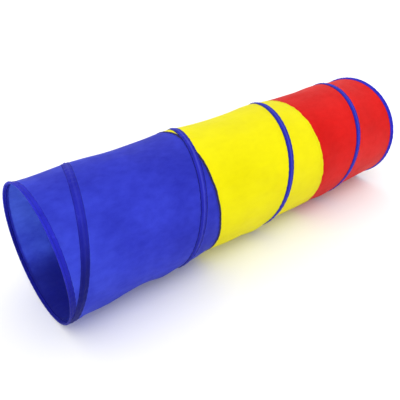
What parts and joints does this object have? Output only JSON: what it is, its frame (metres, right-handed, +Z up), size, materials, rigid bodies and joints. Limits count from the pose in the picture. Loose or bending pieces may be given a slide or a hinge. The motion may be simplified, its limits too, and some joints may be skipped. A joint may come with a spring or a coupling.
{
  "type": "agility tunnel",
  "caption": "Pop-up crawl tunnel for pets: blue, yellow and red cloth sections on a spiral spring wire in sewn tape, wire rings at both ends; it collapses flat along its length",
  "frame": {"origin": "the middle of the tunnel on the floor: centre of the bounding box's bottom", "axes": "+X along the tunnel from the blue mouth to the red end, +Z up, +Y to the left when looking along +X"},
  "size_m": [1.64, 0.483, 0.4815],
  "materials": {
    "blue_cloth": "thin plain-weave nylon, slightly glossy and a little translucent",
    "yellow_cloth": "thin plain-weave nylon, slightly glossy and a little translucent",
    "red_cloth": "thin plain-weave nylon, slightly glossy and a little translucent",
    "binding_tape": "woven polyester tape, stitched",
    "spiral_tape": "woven polyester tape, stitched along both edges",
    "seam_tape": "narrow woven polyester tape, stitched",
    "spring_wire": "drawn spring steel wire",
    "crimp_metal": "crimped sleeve",
    "cap_plastic": "moulded end cap"
  },
  "bodies": {
    "front_end": {"front_binding": "binding_tape", "front_ring_wire": "spring_wire", "front_ring_ferrule": "crimp_metal", "blue_panel": "blue_cloth", "blue_lap_seam": "blue_cloth", "spiral_casing": "spiral_tape", "spiral_wire": "spring_wire", "spiral_front_cap": "cap_plastic"},
    "yellow_section": {"blue_yellow_seam": "seam_tape", "yellow_panel": "yellow_cloth", "yellow_lap_seam": "yellow_cloth"},
    "red_section": {"yellow_red_seam": "seam_tape", "red_panel": "red_cloth", "red_lap_seam": "red_cloth"},
    "rear_end": {"rear_binding": "binding_tape", "rear_ring_wire": "spring_wire", "rear_ring_ferrule": "crimp_metal", "spiral_rear_cap": "cap_plastic"}
  },
  "joints": [
    {"name": "collapse", "type": "slide", "parent": "front_end", "child": "rear_end", "axis": [1, 0, 0], "range_m": [-1.56, 0], "stiffness_N_per_m": 8, "springref_m": 0.2, "deforming": ["red_panel", "red_lap_seam", "spiral_casing", "spiral_wire"]},
    {"name": "blue_yellow_draw_in", "type": "slide", "parent": "front_end", "child": "yellow_section", "axis": [1, 0, 0], "range_m": [-0.53333, 0], "deforming": ["blue_panel", "blue_lap_seam"]},
    {"name": "yellow_red_draw_in", "type": "slide", "parent": "front_end", "child": "red_section", "axis": [1, 0, 0], "range_m": [-1.07445, 0], "deforming": ["yellow_panel", "yellow_lap_seam"]}
  ],
  "couplings": [
    {"joint": "blue_yellow_draw_in", "follows": "collapse", "ratio": 0.34187},
    {"joint": "yellow_red_draw_in", "follows": "collapse", "ratio": 0.68875}
  ]
}
